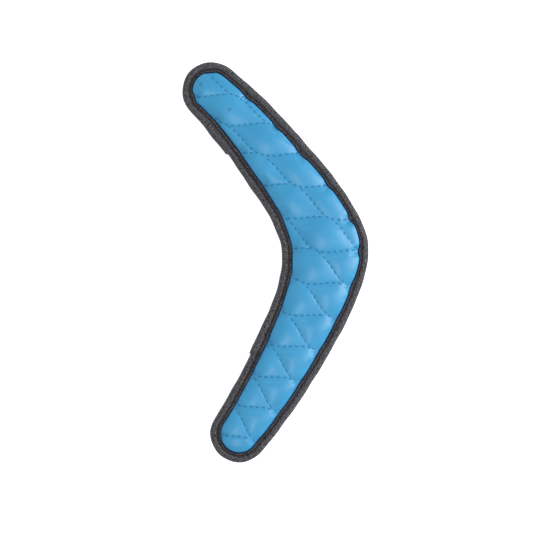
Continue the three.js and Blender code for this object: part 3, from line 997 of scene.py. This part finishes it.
def noise(nodes, links, vector, scale, detail):
    """Cloudy noise, 0 to 1."""
    node = nodes.new("ShaderNodeTexNoise")
    node.inputs["Scale"].default_value = scale
    node.inputs["Detail"].default_value = detail
    links.new(vector, node.inputs["Vector"])
    return node.outputs["Fac"]


def bump(nodes, links, shader, height, strength, distance):
    """Relief on a shader's surface from a value."""
    node = nodes.new("ShaderNodeBump")
    node.inputs["Strength"].default_value = strength
    node.inputs["Distance"].default_value = distance
    links.new(height, node.inputs["Height"])
    links.new(node.outputs["Normal"], shader.inputs["Normal"])


def math_node(nodes, links, operation, first, second=None):
    """A sum done on one value, or on two of which the second may be a plain number."""
    node = nodes.new("ShaderNodeMath")
    node.operation = operation
    links.new(first, node.inputs[0])
    if second is not None:
        if isinstance(second, (int, float)):
            node.inputs[1].default_value = second
        else:
            links.new(second, node.inputs[1])
    return node.outputs[0]


def multiplied(nodes, links, first, second):
    """Two colours multiplied."""
    node = nodes.new("ShaderNodeMix")
    node.data_type = "RGBA"
    node.blend_type = "MULTIPLY"
    node.inputs["Factor"].default_value = 1
    links.new(first, node.inputs["A"])
    links.new(second, node.inputs["B"])
    return node.outputs["Result"]


def cover_material():
    """Smooth coated cloth: soft satin sheen, a very fine grain and slight tone changes, and painted
    shade, dark navy, in the gap where it turns down behind the tape's edge."""
    material, nodes, links, shader = base_material("coated_cloth", linear(45, 137, 182), 0.33)
    shader.inputs["Specular IOR Level"].default_value = 0.5
    place = nodes.new("ShaderNodeTexCoord").outputs["Object"]
    tone = noise(nodes, links, place, CLOUD_SCALE, 3)
    colour = ramp(nodes, links, tone, linear(40, 132, 177), linear(50, 141, 186))
    split = nodes.new("ShaderNodeSeparateXYZ")
    links.new(nodes.new("ShaderNodeUVMap").outputs["UV"], split.inputs[0])
    # painted shade: the cloth turns dark navy within about a millimetre of the tape's edge, where the
    # gap lies in shadow
    fold = ramp(nodes, links, split.outputs[0], (0.02, 0.1, 0.3), (1.0,) * 3, (0.7, 1.7))
    mark = ramp(nodes, links, split.outputs[1], (1.0,) * 3, (0.75, 0.55, 0.5), (0.1, 1.0))
    worn = multiplied(nodes, links, colour, mark)
    links.new(multiplied(nodes, links, worn, fold), shader.inputs["Base Color"])
    bump(nodes, links, shader, noise(nodes, links, place, GRAIN_SCALE, 3), 0.12, 0.00005)
    return material


def tape_material():
    """Ribbed dark grey webbing: cross yarns, pale flecks, dark dots painted as the shade in small
    holes of the weave, painted shade darkening the groove along the seam, and a brownish selvedge."""
    material, nodes, links, shader = base_material("webbing", linear(60, 60, 64), 0.85)
    shader.inputs["Specular IOR Level"].default_value = 0.25
    place = nodes.new("ShaderNodeTexCoord").outputs["Object"]
    split = nodes.new("ShaderNodeSeparateXYZ")
    links.new(nodes.new("ShaderNodeUVMap").outputs["UV"], split.inputs[0])
    along = math_node(nodes, links, "MULTIPLY", split.outputs[0], 2 * math.pi / RIB_PITCH)
    yarns = math_node(nodes, links, "MULTIPLY", math_node(nodes, links, "SINE", along), YARN_TONE)
    tone = math_node(nodes, links, "ADD", noise(nodes, links, place, FLECK_SCALE, 2), yarns)
    flecks = ramp(nodes, links, tone, (0.16,) * 3, (1.0,) * 3, (0.36, 0.68))
    band_node = nodes.new("ShaderNodeValToRGB")
    bands = band_node.color_ramp.elements
    bands[0].color = (*linear(89, 89, 94), 1)
    bands[1].color = (*linear(60, 52, 52), 1)
    # the darker stops from 0.7 to 0.85 are painted shade in the seam's groove; the brownish stop at
    # 0.91 is the selvedge's own colour
    for position, colour in ((0.6, (93, 93, 98)), (0.7, (78, 78, 81)), (0.77, (64, 63, 66)),
                             (0.85, (70, 66, 67)), (0.91, (96, 84, 82))):
        bands.new(position).color = (*linear(*colour), 1)
    links.new(split.outputs[1], band_node.inputs["Fac"])
    # painted shade: dark dots standing for the shadow in small holes of the weave
    cells = nodes.new("ShaderNodeTexVoronoi")
    cells.inputs["Scale"].default_value = PIT_SCALE
    links.new(place, cells.inputs["Vector"])
    pit_shade = ramp(nodes, links, cells.outputs["Distance"], (0.12,) * 3, (1.0,) * 3, (0.1, 0.2))
    webbing = multiplied(nodes, links, flecks, band_node.outputs["Color"])
    links.new(multiplied(nodes, links, webbing, pit_shade), shader.inputs["Base Color"])
    bump(nodes, links, shader, tone, 0.7, 0.0003)
    return material


def thread_material(name, low, high):
    """Fine fibres that vary between two colours."""
    material, nodes, links, shader = base_material(name, high, 0.6)
    shader.inputs["Specular IOR Level"].default_value = 0.2
    place = nodes.new("ShaderNodeTexCoord").outputs["Object"]
    links.new(ramp(nodes, links, noise(nodes, links, place, FIBRE_SCALE, 1), low, high),
              shader.inputs["Base Color"])
    return material


def soft_material(name, low, high):
    """Matt, fuzzy stuffing."""
    material, nodes, links, shader = base_material(name, high, 0.95)
    place = nodes.new("ShaderNodeTexCoord").outputs["Object"]
    tone = noise(nodes, links, place, FUZZ_SCALE, 6)
    links.new(ramp(nodes, links, tone, low, high), shader.inputs["Base Color"])
    bump(nodes, links, shader, tone, 0.5, 0.0005)
    return material


# -------------------- stage

PICTURE_WIDTH = 399.75     # millimetres of floor across the picture
CAMERA_HEIGHT = 1600.0
LOOK_AT = (-12.3, -5.6)    # the picture's middle, from the toy's
ROLL = math.radians(4.5)   # the toy's chord leans this far from the picture's upright
SENSOR = 36
FLOOR_HALF = 3.0
FLOOR_DROP = 0.0002        # the floor lies just under the toy's lowest point
FLOOR_GLOW = 0.6
SKY_STRENGTH = 0.74


def make_camera():
    """The picture's view: straight down."""
    data = bpy.data.cameras.new("camera")
    data.sensor_width = SENSOR
    data.lens = SENSOR * CAMERA_HEIGHT / PICTURE_WIDTH
    data.clip_start, data.clip_end = 0.05, 20
    camera = bpy.data.objects.new("camera", data)
    camera.location = Vector((LOOK_AT[0], LOOK_AT[1], MID_HEIGHT + CAMERA_HEIGHT)) * MM
    camera.rotation_euler = (0, 0, -ROLL)
    bpy.context.scene.collection.objects.link(camera)
    bpy.context.scene.camera = camera


def soft_light(name, location, size, power):
    """A rectangular lamp that faces the toy."""
    data = bpy.data.lights.new(name, "AREA")
    data.shape = "RECTANGLE"
    data.size, data.size_y = size
    data.energy = power
    lamp = bpy.data.objects.new(name, data)
    lamp.location = location
    lamp.rotation_euler = (-Vector(location)).to_track_quat("-Z", "Y").to_euler()
    bpy.context.scene.collection.objects.link(lamp)


def make_stage():
    """A near-white floor, an even sky and soft lights to the toy's south and east."""
    corners = np.array([(-1, -1, 0), (1, -1, 0), (1, 1, 0), (-1, 1, 0)])
    floor = mesh_object("floor", corners * FLOOR_HALF, [(0, 1, 2, 3)])
    floor.location.z = -FLOOR_DROP
    material, nodes, links, shader = base_material("paper", (0.93, 0.93, 0.93), 0.9)
    shader.inputs["Emission Color"].default_value = (1, 1, 1, 1)
    shader.inputs["Emission Strength"].default_value = FLOOR_GLOW
    place = nodes.new("ShaderNodeTexCoord").outputs["Object"]
    links.new(ramp(nodes, links, noise(nodes, links, place, PAPER_SCALE, 2), (0.92,) * 3, (0.94,) * 3),
              shader.inputs["Base Color"])
    floor.data.materials.append(material)
    world = bpy.data.worlds.new("sky")
    world.use_nodes = True
    world.node_tree.nodes["Background"].inputs["Color"].default_value = (1, 1, 1, 1)
    world.node_tree.nodes["Background"].inputs["Strength"].default_value = SKY_STRENGTH
    bpy.context.scene.world = world
    soft_light("south_panel", (-0.18, -0.45, 1.3), (0.22, 0.75), 3.0)
    soft_light("south_east_panel", (0.72, -0.3, 1.2), (0.5, 0.8), 1.6)
    soft_light("east_panel", (1.25, 0.1, 0.85), (1.0, 1.2), 18)
    bpy.context.scene.view_settings.view_transform = "Standard"


make_camera()
make_stage()
surface = make_covers(cover_material())
# the stitches' blue is partly the thread's own colour and partly painted shade of the dips they sink
# into
make_quilt_threads(surface, thread_material("blue_thread", linear(30, 103, 152),
                                            linear(46, 121, 171)))
make_binding(tape_material())
make_seams(thread_material("grey_thread", linear(26, 26, 29), linear(44, 44, 48)))
make_pads(surface, soft_material("wadding", linear(225, 224, 220), linear(245, 244, 240)),
          soft_material("foam", linear(205, 199, 182), linear(222, 216, 200)))
